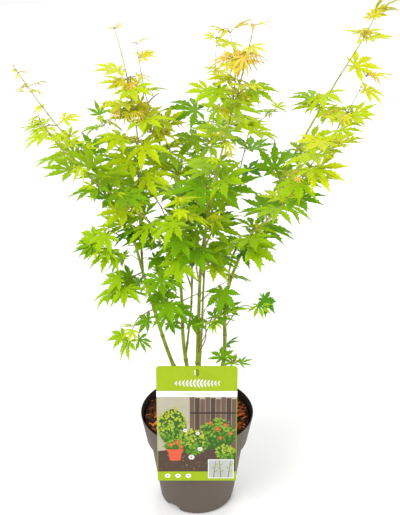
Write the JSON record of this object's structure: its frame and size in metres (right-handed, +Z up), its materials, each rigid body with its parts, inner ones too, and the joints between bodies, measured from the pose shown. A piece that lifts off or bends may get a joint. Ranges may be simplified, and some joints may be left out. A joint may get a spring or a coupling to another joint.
{
  "type": "potted japanese maple",
  "caption": "Young many-stemmed Japanese maple in a plastic nursery pot, with a picture card hooked over the rim; it stands on the pot's flat base.",
  "frame": {"origin": "middle of the pot's flat underside, on the surface it stands on", "axes": "+Z up along the pot's axis; -Y is the front, where the card hangs; +X to the viewer's right"},
  "size_m": [0.5559, 0.3153, 0.8821],
  "materials": {
    "pot": "satin taupe outside, black inside",
    "mulch": "moist bark chips over potting soil",
    "card": "glossy printed card",
    "old_bark": "smooth olive-green bark",
    "young_bark": "smooth red-brown to yellow-green bark",
    "leaves": "soft satin leaf"
  },
  "bodies": {
    "root": {"bark_mulch_and_soil": "mulch", "bough_back_low": "young_bark", "bough_centre_low": "young_bark", "bough_front_low": "young_bark", "bough_left_low": "young_bark", "bough_left_lower": "young_bark", "bough_left_skirt": "young_bark", "bough_right_back": "young_bark", "bough_right_foot": "young_bark", "bough_right_low": "young_bark", "foliage_back": "leaves", "foliage_back_left": "leaves", "foliage_back_left_tip": "leaves", "foliage_back_low": "leaves", "foliage_back_right": "leaves", "foliage_back_tip": "leaves", "foliage_centre": "leaves", "foliage_centre_low": "leaves", "foliage_centre_tip": "leaves", "foliage_centre_upper": "leaves", "foliage_fork_tip": "leaves", "foliage_front": "leaves", "foliage_front_low": "leaves", "foliage_left_front": "leaves", "foliage_left_low": "leaves", "foliage_left_lower": "leaves", "foliage_left_middle": "leaves", "foliage_left_skirt": "leaves", "foliage_left_tip": "leaves", "foliage_left_upper": "leaves", "foliage_rear_left": "leaves", "foliage_right_back": "leaves", "foliage_right_foot": "leaves", "foliage_right_front": "leaves", "foliage_right_front_tip": "leaves", "foliage_right_inner": "leaves", "foliage_right_low": "leaves", "foliage_right_middle": "leaves", "foliage_right_tip": "leaves", "foliage_right_upper": "leaves", "foliage_tall_left": "leaves", "foliage_tall_left_tip": "leaves", "picture_card": "card", "pot": "pot", "shoot_back_left": "young_bark", "shoot_back_right": "young_bark", "shoot_centre_fork": "young_bark", "shoot_front": "young_bark", "shoot_rear_left": "young_bark", "shoot_right_front": "young_bark", "shoot_tall_left": "young_bark", "stem_back": "old_bark", "stem_centre": "old_bark", "stem_inner_left": "old_bark", "stem_left": "old_bark", "stem_right": "old_bark", "trunk": "old_bark"}
  },
  "joints": []
}
